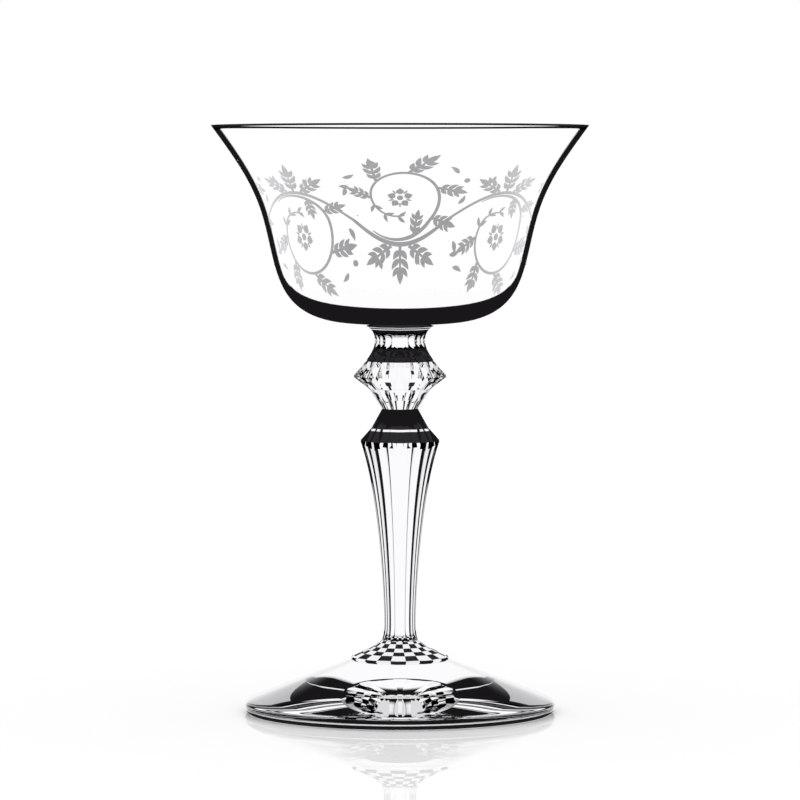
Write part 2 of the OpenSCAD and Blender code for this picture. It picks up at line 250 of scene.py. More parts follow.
foot_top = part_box("foot")[1] / MM
foot_r, foot_h = foot_top.x, foot_top.z
EDGE_W, EDGE_H = 2.5, 3.9
BELLY_H = 1.8
UNDER_W = 1.8
DISH_R, DISH_D = 19.5, 0.8
TOP_R = 12.44
CROWN_BASE_R = 11.6
CENTRE_SHARE = 0.04  # where the dish's rings start, as a share of its radius
ROUND_PULL, EDGE_PULL = 0.55, 0.44  # how far the pulls of the soft edge reach, as shares of its sides
DISH_STEPS, BELLY_STEPS, EDGE_STEPS, SLOPE_STEPS = 24, 12, 20, 12
LOW_EDGE_FROM, LOW_EDGE_TO = 3, 9  # the bands of the round under the edge that are painted dark
shoulder_r, ring_r = foot_r - EDGE_W, foot_r - UNDER_W
fall = (foot_h - EDGE_H) / (shoulder_r - TOP_R)
dish_share = np.linspace(CENTRE_SHARE, 1, DISH_STEPS)
foot_outline = joined(
    np.stack([DISH_R * dish_share, DISH_D * (1 - dish_share**2)], 1),
    line((DISH_R, 0), (ring_r, 0)),
    cubic(
        (ring_r, 0),
        (ring_r + UNDER_W * ROUND_PULL, 0),
        (foot_r, BELLY_H * (1 - ROUND_PULL)),
        (foot_r, BELLY_H),
        BELLY_STEPS,
    ),
    cubic(
        (foot_r, BELLY_H),
        (foot_r, BELLY_H + (EDGE_H - BELLY_H) * EDGE_PULL),
        (shoulder_r + EDGE_W * ROUND_PULL, EDGE_H - EDGE_W * ROUND_PULL * fall),
        (shoulder_r, EDGE_H),
        EDGE_STEPS,
    ),
    line((shoulder_r, EDGE_H), (TOP_R, foot_h), SLOPE_STEPS),
    line((TOP_R, foot_h), (CROWN_BASE_R, foot_h)),
)
belly_band = bands_of(foot_outline) - DISH_STEPS
foot = turned(
    "foot_cone",
    foot_outline,
    [False] * (len(foot_outline) - 1) + [True],
    [foot_crystal, fused_joint, painted_dark_facet],
    ["over"],
    ((belly_band >= LOW_EDGE_FROM) & (belly_band < LOW_EDGE_TO)) * PAINTED_DARK,
)
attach(foot, "root")
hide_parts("foot")

# Crown
# A thin-edged flared disc of crystal that the stem stands on, cut with the stem's own flats. It is fused to
# the foot below and runs into the stem above.

# Cut crystal: its flats turn light back and on again, so it sparkles black and white: partly the white and
# dark room seen through it, and partly painted, black where it would mirror and a flat pale glow after
# three turns.
cut_crystal = crystal("cut_crystal", CUT_IOR, edge=(0.07, 0.8), turns=3)
# Pale facet: a flat painted mostly pale from outside, as a painted reflection of the white room.
painted_pale_facet = crystal(
    "painted_pale_facet", CUT_IOR, edge=(0.07, 0.8), turns=3, sheen=(-0.05, 0.09), wall=shade("#f4f4f6")
)

crown_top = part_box("foot_crown")[1].z / MM
CROWN_R = 12.25
STEM_FOOT_R = 4.6
UNDERCUT_H, EDGE_TOP = 0.5, 0.65  # lower and upper line of the crown's thin edge, above the foot
CROWN_PULLS = ((0.4, 0.36), (0.75, 0.55))  # shares of the cove's width and height
COVE_STEPS = 20
ROWS_END = (2, 7, 11, 15, 19)  # the last band of each row of facets but the top one
cove = CROWN_R - STEM_FOOT_R
edge_z = foot_h + EDGE_TOP
rise = crown_top - edge_z
crown_outline = joined(
    line((CROWN_BASE_R, foot_h), (CROWN_R, foot_h + UNDERCUT_H)),
    line((CROWN_R, foot_h + UNDERCUT_H), (CROWN_R, edge_z)),
    cubic(
        (CROWN_R, edge_z),
        *((CROWN_R - cove * across, edge_z + rise * up) for across, up in CROWN_PULLS),
        (STEM_FOOT_R, crown_top),
        COVE_STEPS,
    ),
)
# Painted dark and painted bright reflections alternate on the facets from row to row, and from the flats'
# middles to the arrises.
facet_row = np.searchsorted(ROWS_END, bands_of(crown_outline))
half_flat = (np.arange(len(CUT)) + FACET_STEPS // 4) // (FACET_STEPS // 2)
crown = turned(
    "crown_disc",
    crown_outline,
    [True] * len(crown_outline),
    [cut_crystal, fused_joint, painted_dark_facet, painted_pale_facet],
    ["under", "over"],
    np.where((facet_row + half_flat) % 2 == 1, PAINTED_BRIGHT, PAINTED_DARK),
)
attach(crown, "root")
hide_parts("foot_crown")

# Stem
# A solid crystal baluster, cut all round in long hollow flats. It swells from a narrow waist to a sharp
# ridge, then closes to a neck that is fused to the knop.

# Stem crystal: the long flats turn light aside once, to the dark room, which is painted black at once, so
# they show painted fine black lines along the stem.
stem_crystal = crystal("stem_crystal", CUT_IOR, edge=(0.06, 0.7), turns=1, goes_on=False)

stem_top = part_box("stem")[1].z / MM
WAIST_R, WAIST_H = 3.95, 5.4
RIDGE_R, RIDGE_DROP = 9.95, 8.1
RIDGE_LEAN = math.radians(18.7)
BREAK_R, BREAK_DROP = 7.15, 4.95
NECK_R = 4.45
WAIST_PULLS = ((0.92, 0.22), (1, 0.48))  # shares of the way in to the waist and up to it
TAPER_PULLS = (0.075, 0.35)  # shares of the height from waist to ridge
WAIST_STEPS, TAPER_STEPS, RIDGE_STEPS, NECK_STEPS = 12, 60, 6, 2
CLEAR_BAND = 5  # the one band above the ridge that isn't painted dark
waist_z, ridge_z = crown_top + WAIST_H, stem_top - RIDGE_DROP
taper_h, waist_in = ridge_z - waist_z, STEM_FOOT_R - WAIST_R
ridge_way = np.array([math.sin(RIDGE_LEAN), math.cos(RIDGE_LEAN)])
stem_outline = joined(
    cubic(
        (STEM_FOOT_R, crown_top),
        *((STEM_FOOT_R - waist_in * into, crown_top + WAIST_H * up) for into, up in WAIST_PULLS),
        (WAIST_R, waist_z),
        WAIST_STEPS,
    ),
    cubic(
        (WAIST_R, waist_z),
        (WAIST_R, waist_z + taper_h * TAPER_PULLS[0]),
        (RIDGE_R, ridge_z) - ridge_way * taper_h * TAPER_PULLS[1],
        (RIDGE_R, ridge_z),
        TAPER_STEPS,
    ),
    line((RIDGE_R, ridge_z), (BREAK_R, stem_top - BREAK_DROP), RIDGE_STEPS),
    line((BREAK_R, stem_top - BREAK_DROP), (NECK_R, stem_top), NECK_STEPS),
)
upper_band = bands_of(stem_outline) - WAIST_STEPS - TAPER_STEPS
stem = turned(
    "stem_baluster",
    stem_outline,
    [True] * len(stem_outline),
    [stem_crystal, fused_joint, painted_dark_facet],
    ["under", "over"],
    ((upper_band >= 0) & (upper_band != CLEAR_BAND)) * PAINTED_DARK,
)
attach(stem, "root")
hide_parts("stem")

# Knop
# A faceted double cone of crystal that the fingers hold, cut in the same flats as the stem and fused to it
# below and to the collar above.

knop_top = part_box("knop")[1].z / MM
KNOP_R, GIRDLE_H = 11.7, 8.2
KNOP_BREAK_R, KNOP_BREAK_H = 7.7, 5.0
COLLAR_FOOT_R = 8.4
KNOP_LOW_STEPS, KNOP_RISE_STEPS, KNOP_FALL_STEPS = 2, 3, 4
WIDE_SPOT, WIDE_SPOT_BANDS = (7, 8, 9, 10), (3,)  # painted dark steps in the middle of each flat, and their bands
SMALL_SPOT, SMALL_SPOT_BANDS = (8, 9), (2, 6)
knop_outline = joined(
    line((NECK_R, stem_top), (KNOP_BREAK_R, stem_top + KNOP_BREAK_H), KNOP_LOW_STEPS),
    line((KNOP_BREAK_R, stem_top + KNOP_BREAK_H), (KNOP_R, stem_top + GIRDLE_H), KNOP_RISE_STEPS),
    line((KNOP_R, stem_top + GIRDLE_H), (COLLAR_FOOT_R, knop_top), KNOP_FALL_STEPS),
)
knop_band = bands_of(knop_outline)
facet_step = np.arange(len(CUT)) % FACET_STEPS
wide_spots = np.isin(knop_band, WIDE_SPOT_BANDS) & np.isin(facet_step, WIDE_SPOT)
small_spots = np.isin(knop_band, SMALL_SPOT_BANDS) & np.isin(facet_step, SMALL_SPOT)
knop = turned(
    "knop_double_cone",
    knop_outline,
    [True] * len(knop_outline),
    [cut_crystal, fused_joint, painted_dark_facet],
    ["under", "over"],
    (wide_spots | small_spots) * PAINTED_DARK,
)
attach(knop, "root")
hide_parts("knop")

# Collar
# A faceted spool of crystal under the bowl. Its flange spreads to a thin edge, and a small raised seat in
# its middle is fused to the bowl.

collar_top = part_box("collar")[1].z / MM
COLLAR_WAIST_R, COLLAR_WAIST_H = 6.3, 5.3
FLANGE_R, FLANGE_DROP = 8.5, 0.55
SEAT_R = 5.6
SPOOL_PULLS = (0.11, 0.48)  # shares of the waist's height
FLANGE_PULLS = (0.5, 0.89)  # shares of the height from the waist to the flange
SPOOL_STEPS = 16
WAIST_FROM, WAIST_TO = 12, 24  # the waist's bands, which are clear; the collar's other bands are painted dark
# Bands painted as pale reflections, thin light lines across the painted dark.
PALE_LINES = (26, 29)
flange_z, spool_z = collar_top - FLANGE_DROP, knop_top + COLLAR_WAIST_H
spread = flange_z - spool_z
collar_outline = joined(
    cubic(
        (COLLAR_FOOT_R, knop_top),
        (COLLAR_FOOT_R, knop_top + COLLAR_WAIST_H * SPOOL_PULLS[0]),
        (COLLAR_WAIST_R, knop_top + COLLAR_WAIST_H * SPOOL_PULLS[1]),
        (COLLAR_WAIST_R, spool_z),
        SPOOL_STEPS,
    ),
    cubic(
        (COLLAR_WAIST_R, spool_z),
        (COLLAR_WAIST_R, spool_z + spread * FLANGE_PULLS[0]),
        ((COLLAR_WAIST_R + FLANGE_R) / 2, spool_z + spread * FLANGE_PULLS[1]),
        (FLANGE_R, flange_z),
        SPOOL_STEPS,
    ),
    line((FLANGE_R, flange_z), (SEAT_R, collar_top)),
)
collar_band = bands_of(collar_outline)
off_waist = (collar_band < WAIST_FROM) | (collar_band >= WAIST_TO)
collar = turned(
    "collar_spool",
    collar_outline,
    [True] * (len(collar_outline) - 1) + [False],
    [cut_crystal, fused_joint, painted_dark_facet, painted_pale_facet],
    ["under", "over"],
    np.where(np.isin(collar_band, PALE_LINES), PAINTED_BRIGHT, off_waist * PAINTED_DARK),
)
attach(collar, "root")
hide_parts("collar")

# Bowl
# Thin blown crystal that flares to a wide fire-polished lip. The wall thickens towards the heel and the
# floor, and the middle of the underside is fused to the collar's seat.

BOWL_IOR = 1.54
# Bowl crystal: quite clear face on, with a crisp painted black line where the eye runs along inside the
# wall.
bowl_crystal = crystal("bowl_crystal", BOWL_IOR, edge=(0.5, 0.7), clear="#ffffff")
# Bowl floor: the same glass, seen along its surface, where it is painted near white, a painted reflection
# of the white room behind.
bowl_floor = crystal(
    "bowl_floor", BOWL_IOR, edge=(0.5, 0.7), clear="#ffffff", sheen=(0.02, 0.14), wall=shade("#fdfdfe")
)
# Polished lip: the melted round edge is painted black, a painted reflection of the dark room, in one fine
# black line.
painted_black_lip = painted_dark_mirror("painted_black_lip", BOWL_IOR, strength=0.99)

bowl_low, bowl_high = (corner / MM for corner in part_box("bowl"))
bowl_z, bowl_h = bowl_low.z, bowl_high.z - bowl_low.z
RIM_R = 47.6
RIM_LEAN = math.radians(36)
FLARE_R, FLARE_H = 34.6, 27.1
FLARE_LEAN = math.radians(16.3)
HEEL_R, HEEL_H = 18.2, 0.9
HEEL_RISE = math.radians(13)
WALL, HEEL_WALL, FLOOR_T = 1.15, 2.2, 2.6
THICKEN_SHARE = 0.45  # how far down the side the wall starts to thicken
LIP_ROUND = 0.4
LIP_LINE = 0.55  # how far down the outside the lip's painted dark line reaches
RIM_PULL, FLARE_PULL_UP, FLARE_PULL_DOWN, HEEL_PULL = 0.2, 0.18, 0.25, 0.28  # shares of the bowl's height
SEAT_PULL = 0.27  # share of the way from the seat to the heel
FLARE_STEPS, SIDE_STEPS, UNDER_STEPS, LIP_STEPS = 40, 60, 24, 8
FLOOR_BANDS = 38  # rings of the inside that lie almost level, which carry the painted pale reflection
LEAST_STEP = 0.01  # the wall's points stop this far below the lip's


def down(lean, length):
    """The step of a length down a line that leans outwards."""
    return np.array([-math.sin(lean), -math.cos(lean)]) * length


def ease(x):
    """An even swing from 0 to 1: 3 x^2 - 2 x^3, held at its ends."""
    x = np.clip(x, 0, 1)
    return x * x * (3 - 2 * x)


def inset(curve, depth):
    """Each point of a curve moved into the glass by depth, square to the curve's own direction."""
    way = np.gradient(curve, axis=0)
    way /= np.linalg.norm(way, axis=1)[:, None]
    return curve + np.stack([way[:, 1], -way[:, 0]], 1) * depth[:, None]


rim = np.array([RIM_R, bowl_h])
flare = np.array([FLARE_R, FLARE_H])
heel = np.array([HEEL_R, HEEL_H])
heel_way = np.array([math.cos(HEEL_RISE), math.sin(HEEL_RISE)])
flare_pulls = (
    rim,
    rim + down(RIM_LEAN, bowl_h * RIM_PULL),
    flare - down(FLARE_LEAN, bowl_h * FLARE_PULL_UP),
    flare,
)
side_pulls = (
    flare,
    flare + down(FLARE_LEAN, bowl_h * FLARE_PULL_DOWN),
    heel + heel_way * bowl_h * HEEL_PULL,
    heel,
)
under_pulls = (
    heel,
    (HEEL_R - HEEL_H / math.tan(HEEL_RISE), 0),
    (SEAT_R + (HEEL_R - SEAT_R) * SEAT_PULL, 0),
    (SEAT_R, 0),
)
outer = joined(
    cubic(*flare_pulls, FLARE_STEPS), cubic(*side_pulls, SIDE_STEPS), cubic(*under_pulls, UNDER_STEPS)
)
thicker = ease((np.linspace(0, 1, SIDE_STEPS + 1) - THICKEN_SHARE) / (1 - THICKEN_SHARE))
deeper = ease(np.linspace(0, 1, UNDER_STEPS + 1)[1:])
side_wall, under_wall = WALL + (HEEL_WALL - WALL) * thicker, HEEL_WALL + (FLOOR_T - HEEL_WALL) * deeper
inner = inset(outer, np.concatenate([np.full(FLARE_STEPS, WALL), side_wall, under_wall]))
rim_inner = rim - (WALL / math.cos(RIM_LEAN), 0)
lip_in, lip_out = rim_inner + down(RIM_LEAN, LIP_ROUND), rim + down(RIM_LEAN, LIP_ROUND)
lip_low = rim + down(RIM_LEAN, LIP_LINE)
lip = joined(
    line(lip_low, lip_out),
    cubic(lip_out, rim, rim, rim - (LIP_ROUND, 0), LIP_STEPS),
    line(rim - (LIP_ROUND, 0), rim_inner + (LIP_ROUND, 0)),
    cubic(rim_inner + (LIP_ROUND, 0), rim_inner, rim_inner, lip_in, LIP_STEPS),
)
outside = outer[outer[:, 1] < lip_low[1] - LEAST_STEP][::-1]
inside = inner[inner[:, 1] < lip_in[1] - LEAST_STEP]
bowl_outline = np.concatenate([outside, lip, inside]) + (0, bowl_z)
bowl_band = bands_of(bowl_outline)
# The lip's bands are painted black.
on_lip = (bowl_band >= len(outside)) & (bowl_band < len(outside) + len(lip))
# The floor's bands get the painted pale reflection.
on_floor = bowl_band >= len(bowl_band) - FLOOR_BANDS
bowl = turned(
    "bowl_shell",
    bowl_outline,
    [False] * len(bowl_outline),
    [bowl_crystal, fused_joint, painted_black_lip, bowl_floor],
    ["under"],
    on_lip * PAINTED_DARK + on_floor * PAINTED_BRIGHT,
)
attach(bowl, "root")
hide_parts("bowl")

# Frieze
# A fired enamel print round the bowl, grey on a white ground: a running vine with curls, lobed leaves,
# rosettes, berries and loose small leaves. It shows from outside, and its white back is lost in the glass.

BAYS = 8
PRINT_T, PRINT_GAP = 0.07, 0.03
TOP_SHARE, LOW_SHARE = 0.4, 0.5  # the frieze runs from this share of the flare to this share of the side


def frieze_place(v):
    """Place and outward way of the wall at shares v of the frieze's height, from its top down: the point of
    the flare's cubic, or past it of the side's, and its heading turned to the right."""
    u = TOP_SHARE + np.asarray(v) * (1 + LOW_SHARE - TOP_SHARE)
    t = np.where(u < 1, u, u - 1)[:, None]
    pulls = zip(flare_pulls, side_pulls)
    a, b, c, d = (np.where((u < 1)[:, None], np.array(up, float), np.array(low, float)) for up, low in pulls)
    place = (1 - t) ** 3 * a + 3 * (1 - t) ** 2 * t * b + 3 * (1 - t) * t**2 * c + t**3 * d
    way = (1 - t) ** 2 * (b - a) + 2 * (1 - t) * t * (c - b) + t**2 * (d - c)
    way /= np.linalg.norm(way, axis=1)[:, None]
    return place, np.stack([-way[:, 1], way[:, 0]], 1)


spots = frieze_place(np.array([0, 0.5, 1]))[0]
band_l = np.linalg.norm(np.diff(spots, axis=0), axis=1).sum()
bay_w = 2 * math.pi * spots[1, 0] / BAYS


def on_wall(flat, lift):
    """Flat places, in millimetres along the band and down it, brought on to the wall and lifted off it."""
    place, out = frieze_place(flat[:, 1] / band_l)
    point = place + lift * out
    angle = 2 * math.pi * flat[:, 0] / (bay_w * BAYS) - math.pi / 2
    return np.stack([point[:, 0] * np.cos(angle), point[:, 0] * np.sin(angle), point[:, 1] + bowl_z], 1) * MM


def polar(radius, degrees):
    """Flat places at a radius and an angle, as rows."""
    a = np.radians(np.asarray(degrees, float))
    return np.stack(np.broadcast_arrays(radius * np.cos(a), radius * np.sin(a)), -1)


TINY = 1e-9  # keeps a way of no length from dividing by nothing


def ribbon(spine, widths, ring=False):
    """The two edges of a flat ribbon: each point of the spine moved half a width to both sides, square to the
    way from the point before to the point after, which for a ring runs on past its ends."""
    way = np.gradient(spine, axis=0)
    if ring:
        way[[0, -1]] = way[0] + way[-1]
    way /= np.linalg.norm(way, axis=1)[:, None] + TINY
    half = np.stack([way[:, 1], -way[:, 0]], 1) * np.asarray(widths)[:, None] / 2
    return spine + half, spine - half


LEAF_STEPS, DOT_STEPS = 12, 15
LEAST_W, LEAST_DOT_W = 0.06, 0.04  # the print's finest line, and the ends of a dot


def blade(place, degrees, length, width, bend=0.0):
    """A pointed leaf along an arc: its width goes as sin(pi s^0.8) over its length, and it turns by bend."""
    s = np.linspace(0, 1, LEAF_STEPS)
    turn = np.radians(degrees + bend * (s - 0.5))
    step = np.stack([np.cos(turn), np.sin(turn)], 1) * length / (LEAF_STEPS - 1)
    spine = place + np.cumsum(step, 0) - step[0]
    return spine, np.maximum(np.sin(math.pi * s**0.8) * width, LEAST_W)


def dot(place, width):
    """A round spot: a ribbon as wide as the circle is at each point across it."""
    s = np.cos(np.linspace(math.pi, 0, DOT_STEPS))
    return place + np.stack([s * width / 2, 0 * s], 1), np.maximum(np.sqrt(1 - s**2) * width, LEAST_DOT_W)


LEAF_L = 9.0
RIB_SHARE = 0.72  # how much of the leaf its midrib reaches
RIB_W, RIB_TIP_W = 0.8, 0.45
TIP_FROM, TIP_SHARE, TIP_W = 0.55, 0.45, 1.7  # where the end lobe starts, its length and its width
LOBES = ((0.12, 0.3), (0.32, 0.38), (0.54, 0.34))  # each pair's place and length, as shares of the leaf
LOBE_W, LOBE_TURN, LOBE_BEND = 1.35, 44, 40  # width in millimetres, and degrees


def lobed_leaf(place, degrees, size):
    """A midrib with a lobe at its tip and pairs of smaller lobes along it, each a blade."""
    s = np.linspace(0, 1, LEAF_STEPS)
    length = LEAF_L * size
    rib = place + polar(length * RIB_SHARE * s, degrees), RIB_W - (RIB_W - RIB_TIP_W) * s
    tip = blade(place + polar(length * TIP_FROM, degrees), degrees, length * TIP_SHARE, TIP_W * size)
    lobes = [
        blade(
            place + polar(length * share, degrees),
            degrees + side * LOBE_TURN,
            length * lobe_l,
            LOBE_W * size,
            -side * LOBE_BEND,
        )
        for share, lobe_l in LOBES
        for side in (-1, 1)
    ]
    return [rib, tip, *lobes]


CURL_OUTER, CURL_INNER = 0.345, 0.165  # the curl's radius at its start and its end, as shares of the band
CURL_START, CURL_TURN = 232, 410  # degrees
CURL_STEPS = 90


def curl(share):
    """The curl's place at a share of its length: the radius shrinks evenly while the angle grows."""
    return polar(band_l * (CURL_OUTER + (CURL_INNER - CURL_OUTER) * share), CURL_START + CURL_TURN * share)


VINE_W = 0.8
CURL_TIP, CURL_SWELL = 0.3, 6  # the curl starts at this share of the vine's width and swells this fast,
CURL_FULL, CURL_THIN = 1.15, 0.6  # then thins from this share by that much along its length
LEAF_OFF = 0.3  # how far outside the curl's middle its leaves start, as a share of the vine's width
ROSETTE_R = 3.0
PETALS = 5
PETAL = (0.36, 0.66, 0.62)  # a petal's start, length and width, as shares of the rosette's radius
SEPAL = (0.5, 0.5, 0.16)
HEART_SHARE = 0.5
BERRY_W = 1.5
# Leaves along the curl: place along it, turn from its angle and size. Hanging ones: place across and angle.
OUTER_LEAVES = ((0.36, -32, 0.85), (0.5, -35, 0.95), (0.64, -35, 0.85), (0.75, -30, 0.7))
START_LEAVES = ((0.14, 150, 0.7), (0.22, 20, 0.75))
HANGING_LEAVES = ((0, -90, 1.0), (-0.07, -148, 0.9), (0.07, -32, 0.9))
HANG = 0.37  # how far off the curl's centre they start, as a share of the band
TENDRIL_SHARES, TENDRIL_TURNS = (0.8, 0.88, 0.96), (50, 130)
# Small single leaves: length, width and bend, then their places across and down, as shares of the band, and
# their angles.
TENDRIL_LEAF, LONG_LEAF, SHORT_LEAF = (2.4, 0.9, 40), (3.1, 1.15, 50), (2.7, 1.05, -50)
BERRIES = ((0.425, 0.09), (0.475, 0.17))
LONG_LEAVES = ((0.44, -0.06, 60), (0.4, 0.24, 130), (-0.42, 0.02, 75), (-0.4, 0.2, 20), (0.41, -0.43, 15))
SHORT_LEAVES = (
    (-0.41, -0.4, 160),
    (-0.47, -0.12, 100),
    (0.16, 0.33, 200),
    (-0.22, 0.36, -20),
    (0.14, -0.5, 80),
    (-0.15, -0.53, 95),
)

share = np.linspace(0, 1, CURL_STEPS)
widths = np.minimum(CURL_TIP + CURL_SWELL * share, CURL_FULL - CURL_THIN * share)
motif = [(curl(share), VINE_W * widths)]
for share, turn, size in OUTER_LEAVES:
    angle = CURL_START + CURL_TURN * share
    motif += lobed_leaf(curl(share) + polar(VINE_W * LEAF_OFF, angle), angle + turn, size)
for across, angle, size in HANGING_LEAVES:
    motif += lobed_leaf(np.array([across, -HANG]) * band_l, angle, size)
for share, turn, size in START_LEAVES:
    motif += lobed_leaf(curl(share), CURL_START + CURL_TURN * share + turn, size)
for share in TENDRIL_SHARES:
    for turn in TENDRIL_TURNS:
        motif.append(blade(curl(share), CURL_START + CURL_TURN * share + turn, *TENDRIL_LEAF))
for half_turn in range(2 * PETALS):
    angle = 90 + half_turn * 180 / PETALS
    off, length, width = (ROSETTE_R * size for size in (SEPAL if half_turn % 2 else PETAL))
    motif.append(blade(polar(off, angle), angle, length, width))
motif.append(dot(np.zeros(2), ROSETTE_R * HEART_SHARE))
motif += [dot(np.array(berry) * band_l, BERRY_W) for berry in BERRIES]
for leaf, places in ((LONG_LEAF, LONG_LEAVES), (SHORT_LEAF, SHORT_LEAVES)):
    motif += [blade(np.array([across, low]) * band_l, angle, *leaf) for across, low, angle in places]

VINE_STEPS = 40  # in each bay
VINE_SWING, CURL_SHIFT = 0.2, 0.16  # how far the vine and the curls stand off the middle, as shares
VINE_MEAN, VINE_BEAT = 1.05, 0.2  # the vine's width, and how much it swells between the curls, as shares
vine_t = np.linspace(0, BAYS, BAYS * VINE_STEPS + 1)
vine = np.stack([vine_t * bay_w, band_l * (0.5 + VINE_SWING * np.cos(math.pi * vine_t))], 1)
vine_widths = VINE_W * (VINE_MEAN + VINE_BEAT * np.cos(2 * math.pi * vine_t))
ribbons = [ribbon(vine, vine_widths, ring=True)]
for bay in range(BAYS):
    flip = -1 if bay % 2 == 0 else 1
    for spine, widths in motif:
        low = band_l * 0.5 + flip * (band_l * CURL_SHIFT + spine[:, 1])
        ribbons.append(ribbon(np.stack([bay * bay_w + spine[:, 0], low], 1), widths))


def printed(name, ribbons, inner_lift, outer_lift):
    """One thin closed slab for each ribbon: its two edges at two lifts, skinned all round and at its ends."""
    points, faces, start = [], [], 0
    for left, right in ribbons:
        n = len(left)
        edges = ((left, inner_lift), (right, inner_lift), (right, outer_lift), (left, outer_lift))
        points.append(np.stack([on_wall(edge, lift) for edge, lift in edges], 1).reshape(-1, 3))
        i = start + np.arange(n - 1)[:, None] * 4
        k = np.arange(4)[None, :]
        j = (k + 1) % 4
        faces += np.stack([i + k, i + 4 + k, i + 4 + j, i + j], 2).reshape(-1, 4).tolist()
        last = start + 4 * (n - 1)
        faces += [[start, start + 1, start + 2, start + 3], [last + 3, last + 2, last + 1, last]]
        start += 4 * n
    mesh = bpy.data.meshes.new(name)
    mesh.from_pydata(np.concatenate(points).tolist(), [], faces)
    mesh.update()
    return added(name, mesh)


frieze = printed("frieze_print", ribbons, PRINT_GAP, PRINT_GAP + PRINT_T)

# Enamel: a matt warm grey print, painted paler where it is seen aslant as a painted sheen, on a white
# ground that is left bare behind.
GRAIN = 900.0  # grains in a metre: about 1.1 mm each, far coarser than fired enamel's, so that they show
FACES_OUT = 0.02  # metres from the axis, times how squarely a face looks away from it
SHEEN_FROM, SHEEN_TO = 0.05, 0.75  # slants between which the grey is painted paler, a painted sheen
LOST_FROM, LOST_TO = 0.7, 0.74  # slants between which the print's thin edges are lost in the glass
EVEN = 0.5  # the blend at which a slant runs from 0, face on, to 1, edge on
enamel = blank(bpy.data.materials, "grey_enamel")
where = node(enamel, "ShaderNodeTexCoord")
away = node(enamel, "ShaderNodeVectorMath", {0: where.outputs["Object"], 1: (1, 1, 0)}, operation="MULTIPLY")
ways = {0: where.outputs["Normal"], 1: away}
outward = node(enamel, "ShaderNodeVectorMath", ways, operation="DOT_PRODUCT").outputs["Value"]
is_back = node(enamel, "ShaderNodeMath", {0: outward, 1: FACES_OUT}, operation="LESS_THAN")
grit = {"Vector": where.outputs["Object"], "Scale": GRAIN, "Detail": 3.0}
grain = node(enamel, "ShaderNodeTexNoise", grit)
tones = {"Factor": grain, 6: shade("#969698"), 7: shade("#a8a8aa")}
tone = node(enamel, "ShaderNodeMix", tones, data_type="RGBA")
slant = node(enamel, "ShaderNodeLayerWeight", {"Blend": EVEN}).outputs["Facing"]
# Painted sheen: the grey is painted towards a pale grey as the face turns edge on.
limits = {"Value": slant, "From Min": SHEEN_FROM, "From Max": SHEEN_TO}
painted_sheen_share = node(enamel, "ShaderNodeMapRange", limits, interpolation_type="SMOOTHSTEP")
tones = {"Factor": painted_sheen_share, 6: tone.outputs[2], 7: shade("#e0e0e2")}
tone_with_painted_sheen = node(enamel, "ShaderNodeMix", tones, data_type="RGBA")
grey = node(enamel, "ShaderNodeBsdfPrincipled", {"Base Color": tone_with_painted_sheen.outputs[2], "Roughness": 0.6})
behind = node(enamel, "ShaderNodeNewGeometry").outputs["Backfacing"]
from_behind = node(enamel, "ShaderNodeMath", {0: is_back, 1: behind}, operation="MAXIMUM")
limits = {"Value": slant, "From Min": LOST_FROM, "From Max": LOST_TO}
edge_on = node(enamel, "ShaderNodeMapRange", limits, interpolation_type="SMOOTHSTEP")
unseen = node(enamel, "ShaderNodeMath", {0: from_behind, 1: edge_on}, operation="MAXIMUM")
lost = node(enamel, "ShaderNodeBsdfTransparent")
enamel_seen = node(enamel, "ShaderNodeMixShader", {0: unseen, 1: grey, 2: lost})
node(enamel, "ShaderNodeOutputMaterial", {"Surface": enamel_seen})
frieze.data.materials.append(enamel)
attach(frieze, "root")
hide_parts("printed_frieze")

# Stage
# A plain white floor, a little glossy, that fades into a white room. The room is dark to each side and high
# behind for light that the glass has turned back, as black cards round a glass make it.

FLOOR_R, FLOOR_CORNERS = 6.0, 96
FLOOR_DROP = 0.02 * MM  # keeps the floor clear of the foot's ring
FLOOR_GLOW, FLOOR_MIRROR = 0.12, 0.28
# The painted shade under the back of the foot, a black patch on the floor seen only through the glass, sets
# in between these distances behind the middle, and for light that comes down through the foot between these
# slants.
SHADE_FROM, SHADE_TO = 14 * MM, 22 * MM
SLANT_FROM, SLANT_TO = 0.16, 0.26

FALL = {"To Min": 1.0, "To Max": 0.0}  # makes a rise from 0 to 1 a fall from 1 to 0
# White floor: matt white board with a thin gloss. Through the glass it is plain white but for a painted
# black shade under the back of the foot.
white_floor = blank(bpy.data.materials, "white_floor")
matt = node(white_floor, "ShaderNodeBsdfDiffuse", {"Color": (0.9, 0.9, 0.9, 1.0)})
glow = node(white_floor, "ShaderNodeEmission", {"Color": WHITE, "Strength": FLOOR_GLOW})
lit = node(white_floor, "ShaderNodeAddShader", {0: matt, 1: glow})
gloss = node(white_floor, "ShaderNodeBsdfGlossy", {"Color": WHITE, "Roughness": 0.0})
board = node(white_floor, "ShaderNodeMixShader", {0: FLOOR_MIRROR, 1: lit, 2: gloss})
spot = node(white_floor, "ShaderNodeTexCoord").outputs["Object"]
spot_r = node(white_floor, "ShaderNodeVectorMath", {0: spot}, operation="LENGTH").outputs["Value"]
past_foot = node(white_floor, "ShaderNodeMath", {0: spot_r, 1: foot_r * MM}, operation="GREATER_THAN")
spot_y = node(white_floor, "ShaderNodeSeparateXYZ", {0: spot}).outputs["Y"]
limits = {"Value": spot_y, "From Min": SHADE_FROM, "From Max": SHADE_TO, **FALL}
before_painted_shade = node(white_floor, "ShaderNodeMapRange", limits, interpolation_type="SMOOTHSTEP")
slant = node(white_floor, "ShaderNodeLayerWeight", {"Blend": EVEN}).outputs["Facing"]
limits = {"Value": slant, "From Min": SLANT_FROM, "From Max": SLANT_TO, **FALL}
steep = node(white_floor, "ShaderNodeMapRange", limits, interpolation_type="SMOOTHSTEP")
